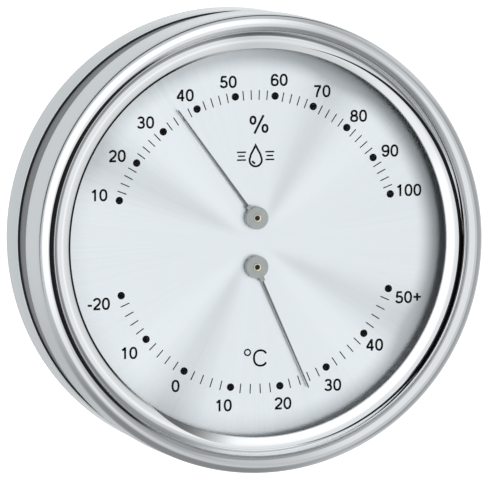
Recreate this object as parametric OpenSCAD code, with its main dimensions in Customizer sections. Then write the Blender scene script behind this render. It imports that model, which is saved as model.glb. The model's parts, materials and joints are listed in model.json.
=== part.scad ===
// Round wall-mounted thermo-hygrometer in a two-part metal housing.
// Every module is drawn face up, with the wall face on the plane z = 0 and the
// dial's vertical along y, and the last lines stand it up so that it looks along -Y.

/* [Housing] */
// Radius of the polished bezel ring
bezel_r = 50; // [49.7:0.1:51]
// Radius of the roll that runs round the bezel's front edge
roll_r = 2; // [1.8:0.05:2.1]
// Radius of the satin case drum behind the bezel
drum_r = 48.9; // [48.6:0.1:49]
// Radius of the ring that stays on the wall
wall_ring_r = 49.4; // [49.2:0.1:49.8]
// Depth of the wall ring
wall_ring_depth = 9.25; // [9:0.05:9.4]
// Dark gap between the wall ring and the drum's shoulder
shadow_gap = 0.6; // [0.4:0.1:0.9]
// Distance from the wall to the bezel's rear edge
bezel_rear_z = 19; // [18.6:0.1:19.4]
// Distance from the wall to the middle of the bezel's roll
roll_z = 28.75; // [28.6:0.05:29]

/* [Dial] */
// Distance from the wall to the printed face of the dial
dial_z = 24.75; // [24.7:0.05:24.8]
// Thickness of the dial plate
dial_t = 0.6; // [0.4:0.1:0.6]
// Radius of the dial that shows inside the bezel's lip
sight_r = 42.25; // [42:0.05:42.4]
// Distance of each hand's pivot from the dial's centre
pivot_offset = 5.35; // [5.3:0.05:5.6]
// Thickness of the window glass
glass_t = 0.8; // [0.6:0.1:0.9]

/* [Hands] */
// Length of the humidity hand from its pivot
humidity_hand_length = 29.5; // [26:0.5:31]
// Length of the temperature hand from its pivot
temperature_hand_length = 29.1; // [26:0.5:31]
// Direction of the humidity hand at rest, anticlockwise from three o'clock
humidity_hand_angle = 126.4; // [80:0.1:160]
// Direction of the temperature hand at rest, anticlockwise from three o'clock
temperature_hand_angle = -66.3; // [-150:0.1:-20]
// Radius of the hub boss in the middle of each hand
hub_r = 2.45; // [2.2:0.05:2.6]
// Width of a hand at its tip
hand_tip_w = 0.26; // [0.2:0.02:0.4]

/* [Fixing] */
// Diameter of the circle through the three wall screws
screw_circle_d = 70; // [66:1:74]
// Radius of each wall screw hole
screw_hole_r = 2.2; // [1.8:0.1:2.5]
// Turn that frees the case from the wall ring, in degrees
unlock_turn = 20; // [15:1:24]

/* [Movement] */
// Radius of each arbor
arbor_r = 0.5; // [0.45:0.01:0.5]
// Gap all round each turning shaft
running_gap = 0.05; // [0.03:0.01:0.08]
// Outer radius of the humidity coil
humidity_coil_r = 8.95; // [8.5:0.05:9]
// Outer radius of the temperature coil
temperature_coil_r = 10.5; // [9.5:0.1:10.8]
// Thickness of the strip that each coil is wound from
strip_t = 0.25; // [0.2:0.05:0.35]
// Width of the strip that each coil is wound from
strip_w = 2.6; // [2.2:0.1:2.6]
// Number of turns in each coil
coil_turns = 4; // [3:1:4]

/* [Hidden] */
$fn = 96;
eps = 0.01;
fit = 0.05;             // gap between two static parts that slide together
humidity_y = pivot_offset;
temperature_y = -pivot_offset;

// wall ring
floor_t = 2.2;
rim_inner_r = 46.9;
edge_chamfer = 0.2;
screw_head_r = 4;
countersink = 1.6;
pin_r = 1;
pin_z = 5.1;
pin_tip_r = 48.2;
pin_root_r = 44.6;
slot_r = 48.35;         // bottom of the bayonet slots
slot_h = 2.2;
slot_half_angle = 1.8;
entry_w = 2.4;          // width of each slot that lets a pin in from the front
entry_r = 48.5;
bayonet_angles = [90, 210, 330];
screw_angles = [30, 150, 270];
friction_in_r = 44.6;
friction_out_r = 46.2;
friction_groove_z = 1.4;
friction_top_z = 2.95;

// case drum
skirt_r = rim_inner_r - 0.08;   // turns in the wall ring's rim
drum_rear_z = 3;
shoulder_z = wall_ring_depth + shadow_gap;
drum_inner_r = 44.2;
register_r = 47.25;     // the bezel screws on to this
register_top_z = 26;
dial_seat_r = 45;
dial_ledge_r = 43;
ledge_t = 2;
cover_seat_z = 4.8;
cover_ledge_r = 41;
cover_ledge_t = 2;
seal_groove_z = 21;
seal_groove_h = 1.6;
seal_groove_r = 46.25;

// bezel, window and dial
bezel_inner_r = register_r + fit;
pocket_r = 45.05;
pocket_z = 26.3;
crease_r = bezel_r - 2 * roll_r;
crease_z = 27.54;
crest_r = 44.2;         // where the bead inside the crease stands highest
crest_z = 28.35;
bead_out_r = 2.4;       // the bead's curve towards the crease
bead_in_r = 8;          // the bead's curve towards the glass
glass_r = 44.9;
glass_front_z = 27.65;
glass_rear_z = glass_front_z - glass_t;
gasket_t = 0.3;
gasket_in_r = 43;
spacer_in_r = 42.7;
dial_r = 44.9;
dial_hole_r = 1;
dial_rear_z = dial_z - dial_t;

// rear cover
cover_r = 44.1;
cover_rear_z = 3.4;
cover_t = 1.2;
cover_front_z = cover_rear_z + cover_t;
cover_screw_ring_r = 39;
cover_screw_angles = [45, 135, 225, 315];
cover_boss_r = 2.8;
cover_boss_h = 6;
vent_slot_w = 2.4;
vent_slot_pitch = 4.4;
vent_span_r = 14.5;
vent_slots = 7;
mesh_r = 16;
mesh_t = 0.2;
mesh_pitch = 2;
mesh_hole = 1.4;
seal_in_r = 41.2;

// movement
plate_z = 18;
plate_t = 1.2;
plate_w = 56;
plate_h = 34;
plate_corner_r = 5;
pillar_r = 2;
pillar_x = 22;
pillar_y = 11;
thread_r = 0.8;
shank_r = 0.75;
thread_depth = 3.5;
clear_r = 0.95;
screw_slot_w = 0.45;
bush_r = 2.2;
bush_hole_r = bush_r + 0.01;
bush_rear_z = 15.4;
bush_flange_r = 3.2;
bush_flange_t = 0.7;
clip_z = 15.8;
clip_t = 0.4;
clip_r = 3.4;
regulator_z = 16.4;
regulator_t = 1.4;
regulator_ring_r = 4.4;
regulator_arm_w = 3;
post_radius = 21;       // from the pivot to the regulator's adjusting post
post_r = 1.6;
post_rear_z = 5.6;
post_slot_depth = 1.2;
regulator_turn = 12;
stud_r = 0.6;
bridge_t = 1.2;
bridge_w = 5;
humidity_bridge_z = 10.5;
temperature_bridge_z = 5.4;
humidity_foot_x = 13;
temperature_foot_x = 17;
foot_r = 2.5;
bridge_screw_depth = 4;
rear_bush_r = 1.4;
pivot_r = 0.3;
humidity_coil_z = 12.3;
temperature_coil_z = 7.1;
coil_inner_r = 1.75;
coil_collet_r = 1.7;
collet_overhang = 0.2;
coil_steps_per_turn = 24;

// hands
hub_rear_z = dial_z + 0.3;
hub_front_z = dial_z + 1.95;
hub_collet_r = 0.84;
hand_z = dial_z + 0.95;
hand_t = 0.3;
hand_root_r = 1;
hand_root_w = 0.84;
hand_neck_r = 3.3;
hand_neck_w = 0.42;
arbor_front_z = hub_front_z - 0.1;

// ---- shared shapes ----

module ring(r_out, r_in, z, h) {
    translate([0, 0, z]) difference() {
        cylinder(h = h, r = r_out);
        translate([0, 0, -eps]) cylinder(h = h + 2 * eps, r = r_in);
    }
}

module at_angles(angles, radius) {
    for (a = angles) rotate(a) translate([radius, 0, 0]) children();
}

module at_corners(x, y) {
    for (sx = [-1, 1], sy = [-1, 1]) translate([sx * x, sy * y, 0]) children();
}

// A slotted cheese-head screw whose head lies below z and whose shank goes up from it
module screw_up(z, head_r, head_t, length) {
    translate([0, 0, z - head_t]) difference() {
        cylinder(h = head_t, r = head_r);
        translate([-head_r - eps, -screw_slot_w / 2, -eps])
            cube([2 * head_r + 2 * eps, screw_slot_w, head_t / 2]);
    }
    translate([0, 0, z]) cylinder(h = length, r = shank_r);
}

module screw_down(z, head_r, head_t, length) {
    translate([0, 0, z]) mirror([0, 0, 1]) screw_up(0, head_r, head_t, length);
}

module rounded_plate(w, h, r, t) {
    linear_extrude(t) union() {
        square([w - 2 * r, h], center = true);
        square([w, h - 2 * r], center = true);
        for (sx = [-1, 1], sy = [-1, 1])
            translate([sx * (w / 2 - r), sy * (h / 2 - r)]) circle(r);
    }
}

// An arc-shaped slot of width w and the given radius about the z axis
module arc_slot(radius, w, middle, half_angle, z, h) {
    rotate(middle - half_angle) rotate_extrude(angle = 2 * half_angle)
        translate([radius - w / 2, z]) square([w, h]);
    for (side = [-1, 1]) rotate(middle + side * half_angle)
        translate([radius, 0, z]) cylinder(h = h, r = w / 2);
}

function coil_point(t, outer, angle, offset) =
    let (a = angle - (1 - t) * coil_turns * 360,
         r = coil_inner_r + (outer - strip_t - coil_inner_r) * t + offset)
    [r * cos(a), r * sin(a)];

// A flat spiral strip that ends on its outer radius at the given angle
module coil(outer, angle, z) {
    steps = coil_turns * coil_steps_per_turn;
    translate([0, 0, z]) linear_extrude(strip_w) polygon(concat(
        [for (i = [0 : steps]) coil_point(i / steps, outer, angle, 0)],
        [for (i = [steps : -1 : 0]) coil_point(i / steps, outer, angle, strip_t)]
    ));
}

// ---- wall ring ----

module wall_ring() {
    color("gainsboro") difference() {
        rotate_extrude() polygon([
            [0, 0], [wall_ring_r - edge_chamfer, 0], [wall_ring_r, edge_chamfer],
            [wall_ring_r, wall_ring_depth - edge_chamfer],
            [wall_ring_r - edge_chamfer, wall_ring_depth],
            [rim_inner_r, wall_ring_depth], [rim_inner_r, floor_t], [0, floor_t]
        ]);
        at_angles(screw_angles, screw_circle_d / 2) {
            translate([0, 0, -eps]) cylinder(h = floor_t, r = screw_hole_r);
            translate([0, 0, floor_t - countersink])
                cylinder(h = countersink + eps, r1 = screw_hole_r, r2 = screw_head_r);
        }
        ring(friction_out_r, friction_in_r, friction_groove_z, floor_t);
        for (a = bayonet_angles) {
            rotate(a - slot_half_angle) rotate_extrude(angle = unlock_turn + 2 * slot_half_angle)
                translate([rim_inner_r - 1, pin_z - slot_h / 2])
                    square([slot_r - rim_inner_r + 1, slot_h]);
            rotate(a + unlock_turn) translate([rim_inner_r - 1, -entry_w / 2, pin_z])
                cube([entry_r - rim_inner_r + 1, entry_w, wall_ring_depth]);
        }
    }
}

module friction_ring() {
    color("dimgray") ring(
        friction_out_r - fit, friction_in_r + fit,
        friction_groove_z, friction_top_z - friction_groove_z
    );
}

// ---- case ----

module case_drum() {
    color("silver") difference() {
        union() {
            rotate_extrude() polygon([
                [drum_inner_r, drum_rear_z], [skirt_r, drum_rear_z],
                [skirt_r, shoulder_z], [drum_r - edge_chamfer, shoulder_z],
                [drum_r, shoulder_z + edge_chamfer], [drum_r, bezel_rear_z],
                [register_r, bezel_rear_z], [register_r, register_top_z],
                [dial_seat_r, register_top_z], [dial_seat_r, dial_rear_z],
                [dial_ledge_r, dial_rear_z], [dial_ledge_r, dial_rear_z - ledge_t],
                [drum_inner_r, dial_rear_z - ledge_t - 1.2],
                [drum_inner_r, cover_seat_z + cover_ledge_t],
                [cover_ledge_r, cover_seat_z + cover_ledge_t],
                [cover_ledge_r, cover_seat_z], [drum_inner_r, cover_seat_z]
            ]);
            at_angles(cover_screw_angles, cover_screw_ring_r)
                translate([0, 0, cover_seat_z]) {
                    cylinder(h = cover_boss_h, r = cover_boss_r);
                    translate([0, -cover_boss_r, 0])
                        cube([drum_inner_r - cover_screw_ring_r, 2 * cover_boss_r, cover_boss_h]);
                }
        }
        at_angles(cover_screw_angles, cover_screw_ring_r)
            translate([0, 0, cover_seat_z - eps]) cylinder(h = thread_depth + 1, r = thread_r);
        for (a = bayonet_angles) rotate(a) translate([pin_root_r - 2, 0, pin_z])
            rotate([0, 90, 0]) cylinder(h = 5, r = pin_r + fit / 2);
        ring(register_r + 1, seal_groove_r, seal_groove_z, seal_groove_h);
    }
}

module bayonet_pins() {
    color("lightgray") for (a = bayonet_angles) rotate(a)
        translate([pin_root_r, 0, pin_z]) rotate([0, 90, 0])
            cylinder(h = pin_tip_r - pin_root_r, r = pin_r);
}

module bezel_ring() {
    color("whitesmoke") rotate_extrude() difference() {
        union() {
            polygon([
                [pocket_r, bezel_rear_z], [bezel_r - edge_chamfer, bezel_rear_z],
                [bezel_r, bezel_rear_z + edge_chamfer], [bezel_r, roll_z],
                [crease_r, roll_z], [crease_r, crease_z], [pocket_r, crease_z]
            ]);
            translate([bezel_r - roll_r, roll_z]) circle(roll_r);
            bead_side(bead_out_r, crest_r, crease_r + roll_r / 2);
            bead_side(bead_in_r, sight_r, crest_r);
        }
        translate([0, bezel_rear_z - 1]) square([bezel_inner_r, pocket_z - bezel_rear_z + 1]);
        translate([0, pocket_z - eps]) square([pocket_r, glass_front_z - pocket_z + eps]);
    }
}

// One side of the bead, as the part of a circle of radius r between two radii of the ring
module bead_side(r, from_r, to_r) {
    intersection() {
        translate([crest_r, crest_z - r]) circle(r);
        translate([from_r, pocket_z]) square([to_r - from_r, crest_z - pocket_z + 1]);
    }
}

module bezel_seal() {
    color("dimgray") ring(
        register_r, seal_groove_r + fit, seal_groove_z + fit, seal_groove_h - 2 * fit
    );
}

module glass() {
    color("lightcyan", 0.3) translate([0, 0, glass_rear_z]) cylinder(h = glass_t, r = glass_r);
}

module glass_gasket() {
    color("dimgray") ring(glass_r, gasket_in_r, glass_rear_z - gasket_t, gasket_t);
}

module spacer_ring() {
    color("gray") ring(dial_r, spacer_in_r, dial_z, glass_rear_z - gasket_t - dial_z);
}

module dial_plate() {
    color("lightgray") translate([0, 0, dial_rear_z]) difference() {
        cylinder(h = dial_t, r = dial_r);
        for (y = [humidity_y, temperature_y])
            translate([0, y, -eps]) cylinder(h = dial_t + 2 * eps, r = dial_hole_r);
    }
}

// ---- fixed parts of the movement ----

module movement_pillars() {
    pillar_z = plate_z + plate_t;
    color("goldenrod") at_corners(pillar_x, pillar_y) difference() {
        translate([0, 0, pillar_z]) cylinder(h = dial_rear_z - pillar_z, r = pillar_r);
        translate([0, 0, pillar_z - eps]) cylinder(h = thread_depth, r = thread_r);
    }
}

module movement_plate() {
    color("goldenrod") translate([0, 0, plate_z]) difference() {
        rounded_plate(plate_w, plate_h, plate_corner_r, plate_t);
        translate([0, 0, -eps]) {
            at_corners(pillar_x, pillar_y) cylinder(h = plate_t + 1, r = clear_r);
            for (y = [humidity_y, temperature_y])
                translate([0, y, 0]) cylinder(h = plate_t + 1, r = bush_hole_r);
            for (side = [-1, 1]) {
                translate([side * humidity_foot_x, humidity_y, 0])
                    cylinder(h = plate_t + 1, r = clear_r);
                translate([side * temperature_foot_x, temperature_y, 0])
                    cylinder(h = plate_t + 1, r = clear_r);
            }
        }
    }
}

module plate_screws() {
    color("silver") at_corners(pillar_x, pillar_y)
        screw_up(plate_z, 1.7, 0.9, plate_t + thread_depth - 0.6);
}

module front_bush(y) {
    top_z = plate_z + plate_t;
    color("khaki") translate([0, y, 0]) difference() {
        union() {
            translate([0, 0, bush_rear_z]) cylinder(h = top_z - bush_rear_z, r = bush_r);
            translate([0, 0, top_z]) cylinder(h = bush_flange_t, r = bush_flange_r);
        }
        translate([0, 0, bush_rear_z - 1])
            cylinder(h = top_z - bush_rear_z + 3, r = arbor_r + running_gap);
    }
}

module humidity_front_bush() front_bush(humidity_y);
module temperature_front_bush() front_bush(temperature_y);

module regulator_clips() {
    color("silver") for (y = [humidity_y, temperature_y])
        translate([0, y, 0]) ring(clip_r, bush_r + fit / 2, clip_z, clip_t);
}

// A bar that holds the rear end of an arbor, on two round feet
module bridge(y, foot_x, z) {
    color("goldenrod") translate([0, y, 0]) difference() {
        union() {
            translate([0, 0, z]) linear_extrude(bridge_t) union() {
                square([2 * foot_x, bridge_w], center = true);
                for (side = [-1, 1]) translate([side * foot_x, 0]) circle(bridge_w / 2);
                circle(bridge_w * 0.7);
            }
            for (side = [-1, 1]) translate([side * foot_x, 0, z])
                cylinder(h = plate_z - z, r = foot_r);
        }
        translate([0, 0, z - eps]) cylinder(h = bridge_t + 1, r = rear_bush_r);
        for (side = [-1, 1]) translate([side * foot_x, 0, plate_z - bridge_screw_depth - 0.5])
            cylinder(h = bridge_screw_depth + 1, r = thread_r);
    }
}

module humidity_bridge() bridge(humidity_y, humidity_foot_x, humidity_bridge_z);
module temperature_bridge() bridge(temperature_y, temperature_foot_x, temperature_bridge_z);

module rear_bush(y, z) {
    color("khaki") translate([0, y, 0])
        ring(rear_bush_r, pivot_r + running_gap, z, bridge_t);
}

module humidity_rear_bush() rear_bush(humidity_y, humidity_bridge_z);
module temperature_rear_bush() rear_bush(temperature_y, temperature_bridge_z);

module bridge_screws(y, foot_x) {
    color("silver") for (side = [-1, 1]) translate([side * foot_x, y, 0])
        screw_down(plate_z + plate_t, 1.6, 0.8, plate_t + bridge_screw_depth);
}

module humidity_bridge_screws() bridge_screws(humidity_y, humidity_foot_x);
module temperature_bridge_screws() bridge_screws(temperature_y, temperature_foot_x);

// ---- rear cover ----

module rear_cover() {
    color("darkgray") difference() {
        translate([0, 0, cover_rear_z]) cylinder(h = cover_t, r = cover_r);
        for (i = [0 : vent_slots - 1]) {
            x = (i - (vent_slots - 1) / 2) * vent_slot_pitch;
            length = 2 * sqrt(vent_span_r * vent_span_r - x * x);
            translate([x - vent_slot_w / 2, -length / 2, cover_rear_z - 1])
                cube([vent_slot_w, length, cover_t + 2]);
        }
        at_angles(cover_screw_angles, cover_screw_ring_r)
            translate([0, 0, cover_rear_z - 1]) cylinder(h = cover_t + 2, r = clear_r);
        translate([0, humidity_y, 0]) arc_slot(
            post_radius, 2 * post_r + 0.4, 90, regulator_turn, cover_rear_z - 1, cover_t + 2);
        translate([0, temperature_y, 0]) arc_slot(
            post_radius, 2 * post_r + 0.4, 270, regulator_turn, cover_rear_z - 1, cover_t + 2);
    }
}

module rear_cover_screws() {
    color("silver") at_angles(cover_screw_angles, cover_screw_ring_r)
        screw_up(cover_rear_z, 1.8, 0.9, cover_seat_z - cover_rear_z + thread_depth);
}

module vent_mesh() {
    cells = floor(mesh_r / mesh_pitch) - 1;
    color("gray") translate([0, 0, cover_front_z]) difference() {
        cylinder(h = mesh_t, r = mesh_r);
        for (ix = [-cells : cells], iy = [-cells : cells])
            if (norm([ix, iy]) * mesh_pitch < mesh_r - mesh_pitch)
                translate([ix * mesh_pitch - mesh_hole / 2, iy * mesh_pitch - mesh_hole / 2, -1])
                    cube([mesh_hole, mesh_hole, 2]);
    }
}

module cover_seal() {
    color("dimgray") ring(cover_r, seal_in_r, cover_front_z, cover_seat_z - cover_front_z);
}

// ---- regulators, with the coil and its outer stud ----

// A ring that turns on the front bush, with an arm to the coil's stud and the adjusting post
module regulator(y, direction, coil_r) {
    color("goldenrod") translate([0, y, 0]) rotate(direction) difference() {
        union() {
            translate([0, 0, regulator_z]) {
                cylinder(h = regulator_t, r = regulator_ring_r);
                translate([0, -regulator_arm_w / 2, 0])
                    cube([post_radius, regulator_arm_w, regulator_t]);
                translate([post_radius, 0, 0]) cylinder(h = regulator_t, r = regulator_arm_w / 2 + 1);
            }
            translate([post_radius, 0, post_rear_z])
                cylinder(h = regulator_z + eps - post_rear_z, r = post_r);
        }
        translate([0, 0, regulator_z - 1])
            cylinder(h = regulator_t + 2, r = bush_r + running_gap);
        translate([coil_r + stud_r, 0, regulator_z - 1]) cylinder(h = regulator_t + 2, r = stud_r);
        translate([post_radius - post_r - 1, -screw_slot_w / 2, post_rear_z - eps])
            cube([2 * post_r + 2, screw_slot_w, post_slot_depth]);
    }
}

module humidity_regulator() regulator(humidity_y, 90, humidity_coil_r);
module temperature_regulator() regulator(temperature_y, -90, temperature_coil_r);

module coil_stud(y, direction, coil_r, coil_z) {
    bottom = coil_z - collet_overhang;
    color("khaki") translate([0, y, 0]) rotate(direction) translate([coil_r + stud_r, 0, bottom])
        cylinder(h = regulator_z + regulator_t - bottom, r = stud_r);
}

module humidity_stud() coil_stud(humidity_y, 90, humidity_coil_r, humidity_coil_z);
module temperature_stud() coil_stud(temperature_y, -90, temperature_coil_r, temperature_coil_z);

module humidity_coil() {
    color("tan") translate([0, humidity_y, 0]) coil(humidity_coil_r, 90, humidity_coil_z);
}

module temperature_coil() {
    color("darkgoldenrod") translate([0, temperature_y, 0])
        coil(temperature_coil_r, -90, temperature_coil_z);
}

// ---- hands ----

function hand_side(length) = [
    [hand_root_r, hand_root_w / 2], [hub_r, hand_root_w / 2],
    [hand_neck_r, hand_neck_w / 2], [length, hand_tip_w / 2]
];

module pointer(y, direction, length) {
    side = hand_side(length);
    color("dimgray") translate([0, y, hand_z]) rotate(direction) linear_extrude(hand_t)
        polygon(concat(side, [for (i = [len(side) - 1 : -1 : 0]) [side[i][0], -side[i][1]]]));
}

module hub(y, direction) {
    color("gray") translate([0, y, 0]) difference() {
        translate([0, 0, hub_rear_z]) cylinder(h = hub_front_z - hub_rear_z, r = hub_r);
        translate([0, 0, hub_rear_z - 1]) cylinder(h = 4, r = hub_collet_r + fit / 2);
        rotate(direction) translate([hand_root_r, -hand_root_w / 2, hand_z])
            cube([hub_r, hand_root_w, hand_t]);
    }
}

module hub_collet(y) {
    color("gold") translate([0, y, 0]) ring(
        hub_collet_r, arbor_r + fit / 2, hub_rear_z - 0.05, hub_front_z - hub_rear_z + 0.1
    );
}

// A turned shaft with a thin pivot at its rear end
module arbor(y, bridge_z) {
    body_z = bridge_z + bridge_t + 0.2;
    color("dimgray") translate([0, y, 0]) {
        translate([0, 0, bridge_z + 0.1]) cylinder(h = body_z - bridge_z, r = pivot_r);
        translate([0, 0, body_z]) cylinder(h = arbor_front_z - body_z, r = arbor_r);
    }
}

module coil_collet(y, coil_z) {
    color("khaki") translate([0, y, 0]) ring(
        coil_collet_r, arbor_r + fit / 2,
        coil_z - collet_overhang, strip_w + 2 * collet_overhang
    );
}

module humidity_pointer() pointer(humidity_y, humidity_hand_angle, humidity_hand_length);
module humidity_hub() hub(humidity_y, humidity_hand_angle);
module humidity_hub_collet() hub_collet(humidity_y);
module humidity_arbor() arbor(humidity_y, humidity_bridge_z);
module humidity_coil_collet() coil_collet(humidity_y, humidity_coil_z);

module temperature_pointer()
    pointer(temperature_y, temperature_hand_angle, temperature_hand_length);
module temperature_hub() hub(temperature_y, temperature_hand_angle);
module temperature_hub_collet() hub_collet(temperature_y);
module temperature_arbor() arbor(temperature_y, temperature_bridge_z);
module temperature_coil_collet() coil_collet(temperature_y, temperature_coil_z);

// Stands a part up, so that the wall face looks along +Y and the dial along -Y
module on_wall() rotate([90, 0, 0]) children();

on_wall() wall_ring();
on_wall() friction_ring();
on_wall() case_drum();
on_wall() bayonet_pins();
on_wall() bezel_ring();
on_wall() bezel_seal();
on_wall() glass();
on_wall() glass_gasket();
on_wall() spacer_ring();
on_wall() dial_plate();
on_wall() movement_pillars();
on_wall() movement_plate();
on_wall() plate_screws();
on_wall() humidity_front_bush();
on_wall() temperature_front_bush();
on_wall() regulator_clips();
on_wall() humidity_bridge();
on_wall() temperature_bridge();
on_wall() humidity_rear_bush();
on_wall() temperature_rear_bush();
on_wall() humidity_bridge_screws();
on_wall() temperature_bridge_screws();
on_wall() rear_cover();
on_wall() rear_cover_screws();
on_wall() vent_mesh();
on_wall() cover_seal();
on_wall() humidity_regulator();
on_wall() humidity_stud();
on_wall() humidity_coil();
on_wall() temperature_regulator();
on_wall() temperature_stud();
on_wall() temperature_coil();
on_wall() humidity_pointer();
on_wall() humidity_hub();
on_wall() humidity_hub_collet();
on_wall() humidity_arbor();
on_wall() humidity_coil_collet();
on_wall() temperature_pointer();
on_wall() temperature_hub();
on_wall() temperature_hub_collet();
on_wall() temperature_arbor();
on_wall() temperature_coil_collet();
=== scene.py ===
import json
import math

import bmesh
import bpy
from bpy.props import FloatProperty, FloatVectorProperty, IntProperty, PointerProperty
from mathutils import Matrix, Vector


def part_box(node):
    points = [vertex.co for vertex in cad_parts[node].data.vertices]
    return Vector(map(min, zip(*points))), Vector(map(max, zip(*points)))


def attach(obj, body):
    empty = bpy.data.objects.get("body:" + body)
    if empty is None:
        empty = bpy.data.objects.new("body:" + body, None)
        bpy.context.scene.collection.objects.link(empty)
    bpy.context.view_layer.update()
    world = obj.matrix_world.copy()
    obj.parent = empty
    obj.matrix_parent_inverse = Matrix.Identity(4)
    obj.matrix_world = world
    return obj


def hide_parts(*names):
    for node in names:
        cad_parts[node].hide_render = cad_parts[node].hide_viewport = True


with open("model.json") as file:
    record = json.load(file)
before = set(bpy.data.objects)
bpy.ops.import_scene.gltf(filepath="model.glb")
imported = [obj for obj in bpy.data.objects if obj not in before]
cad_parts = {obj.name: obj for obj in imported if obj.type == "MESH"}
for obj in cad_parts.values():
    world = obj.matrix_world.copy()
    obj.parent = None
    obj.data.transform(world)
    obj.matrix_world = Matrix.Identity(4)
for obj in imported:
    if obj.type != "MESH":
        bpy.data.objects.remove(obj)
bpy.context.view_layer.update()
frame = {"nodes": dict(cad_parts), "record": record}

bl_info = {
    "name": "Cabin Thermo-hygrometer",
    "version": (1, 0, 0),
    "blender": (4, 5, 0),
    "location": "View3D > Sidebar > Instrument",
    "description": "Builds the housing, dial, hands and movement finishes of a thermo-hygrometer",
    "category": "Object",
}

MM = 0.001
NODES = frame["nodes"]

# Sizes in mm: distances in front of the wall and radii, taken from the frame's boxes
FRONT = -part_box("bezel_ring")[0].y / MM
DIAL = -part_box("dial_plate")[0].y / MM
BEZEL_REAR = -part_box("bezel_ring")[1].y / MM
GLASS_REAR = -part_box("glass")[1].y / MM
GLASS_FRONT = -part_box("glass")[0].y / MM
BEZEL_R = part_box("bezel_ring")[1].x / MM
DRUM_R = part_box("case_drum")[1].z / MM
DRUM_REAR = -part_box("case_drum")[1].y / MM
WALL_RING_R = 49.4
WALL_RING_FRONT = -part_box("wall_ring")[0].y / MM
DIAL_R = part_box("dial_plate")[1].x / MM
HUMIDITY_PIVOT = (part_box("humidity_hub")[0].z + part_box("humidity_hub")[1].z) / 2 / MM
TEMPERATURE_PIVOT = (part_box("temperature_hub")[0].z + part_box("temperature_hub")[1].z) / 2 / MM


# ---- the sizes and colours that a user would change ----

class HousingSettings(bpy.types.PropertyGroup):
    roll_radius: FloatProperty(
        name="Roll radius", description="Radius of the roll round the bezel's front edge",
        default=2.0 * MM, unit="LENGTH", subtype="DISTANCE")
    sight_radius: FloatProperty(
        name="Sight radius", description="Radius of the opening in front of the dial",
        default=42.25 * MM, unit="LENGTH", subtype="DISTANCE")
    polish: FloatProperty(
        name="Polish roughness", description="Roughness of the polished metal",
        default=0.035, min=0.0, max=1.0, subtype="FACTOR")
    chrome: FloatVectorProperty(
        name="Chrome", description="Colour of the polished metal",
        default=(0.86, 0.875, 0.885), subtype="COLOR")
    satin: FloatVectorProperty(
        name="Satin steel", description="Colour of the case drum",
        default=(0.24, 0.25, 0.255), subtype="COLOR")
    segments: IntProperty(
        name="Segments", description="Steps round each turned ring", default=288, min=32)


class DialSettings(bpy.types.PropertyGroup):
    silver: FloatVectorProperty(
        name="Silver", description="Mean colour of the dial plate",
        default=(0.87, 0.885, 0.92), subtype="COLOR")
    ink: FloatVectorProperty(
        name="Ink", description="Colour of the dots, numbers and signs",
        default=(0.003, 0.003, 0.0035), subtype="COLOR")
    dot_circle: FloatProperty(
        name="Dot circle", description="Radius of the circle through the scale dots",
        default=32.0 * MM, unit="LENGTH", subtype="DISTANCE")
    dot_radius: FloatProperty(
        name="Dot radius", description="Radius of each scale dot",
        default=0.83 * MM, unit="LENGTH", subtype="DISTANCE")
    digit_height: FloatProperty(
        name="Digit height", description="Height of the printed numbers",
        default=2.57 * MM, unit="LENGTH", subtype="DISTANCE")


class StageSettings(bpy.types.PropertyGroup):
    tent: FloatProperty(
        name="Tent", description="Brightness of the white light tent", default=0.68, min=0.0)
    floor_drop: FloatProperty(
        name="Floor drop", description="How far the floor lies below the instrument",
        default=0.9, unit="LENGTH", subtype="DISTANCE")


# ---- shader expressions ----

class Wire:
    """A shader socket that can be used in sums, products and comparisons."""

    def __init__(self, sheet, socket):
        self.sheet = sheet
        self.socket = socket

    def math(self, operation, *others):
        return self.sheet.add("ShaderNodeMath", {"operation": operation}, [self, *others])

    def __add__(self, other): return self.math("ADD", other)
    def __mul__(self, other): return self.math("MULTIPLY", other)
    def __sub__(self, other): return self.math("SUBTRACT", other)
    def __truediv__(self, other): return self.math("DIVIDE", other)
    def __pow__(self, other): return self.math("POWER", other)
    __radd__ = __add__
    __rmul__ = __mul__

    def __rsub__(self, other):
        return self.sheet.add("ShaderNodeMath", {"operation": "SUBTRACT"}, [other, self])

    def sine(self): return self.math("SINE")
    def absolute(self): return self.math("ABSOLUTE")

    def ramp(self, low, high, from_value=0.0, to_value=1.0):
        """Smoothly goes from from_value at low to to_value at high."""
        return self.sheet.add(
            "ShaderNodeMapRange", {"interpolation_type": "SMOOTHSTEP"},
            [self, low, high, from_value, to_value])


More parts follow.
